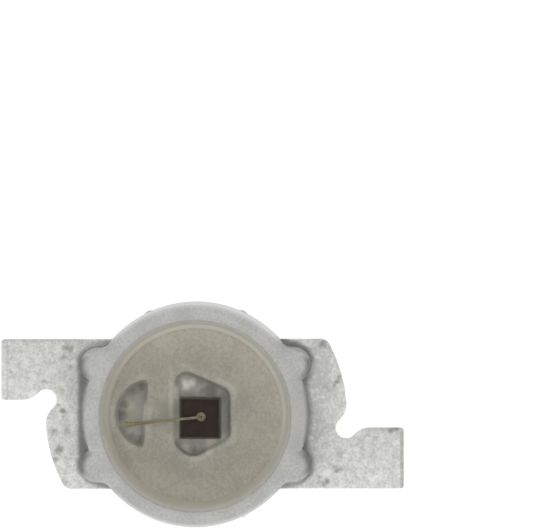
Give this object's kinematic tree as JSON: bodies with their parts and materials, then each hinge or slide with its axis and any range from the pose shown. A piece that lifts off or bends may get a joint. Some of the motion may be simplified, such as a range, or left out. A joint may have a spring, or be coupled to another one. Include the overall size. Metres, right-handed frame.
{
  "type": "surface-mount led",
  "caption": "Round flat surface-mount LED: white moulded cup with corner ears, stamped tinned leads with notched feet, and a wired chip under clear resin.",
  "frame": {"origin": "where the moulding's axis meets its back face, on which the part rests", "axes": "+Z along the moulding's axis, the way the light leaves; +X along the leads, from the wire lead to the chip lead"},
  "size_m": [0.0037, 0.002, 0.0008],
  "materials": {
    "white_plastic": "fine-grained matt off-white moulding plastic",
    "tinned_metal": "dull, mottled tin plating with a few dark stains",
    "conductive_adhesive": "dull grey, filled with metal flakes",
    "semiconductor": "dark brown-black, smooth, with sawn sides",
    "gold": "bright drawn gold wire",
    "clear_resin": "clear, glossy, faintly amber"
  },
  "bodies": {
    "root": {"housing": "white_plastic", "anode_lead": "tinned_metal", "cathode_lead": "tinned_metal", "chip_adhesive": "conductive_adhesive", "chip": "semiconductor", "bond_wire": "gold", "resin_fill": "clear_resin"}
  },
  "joints": []
}
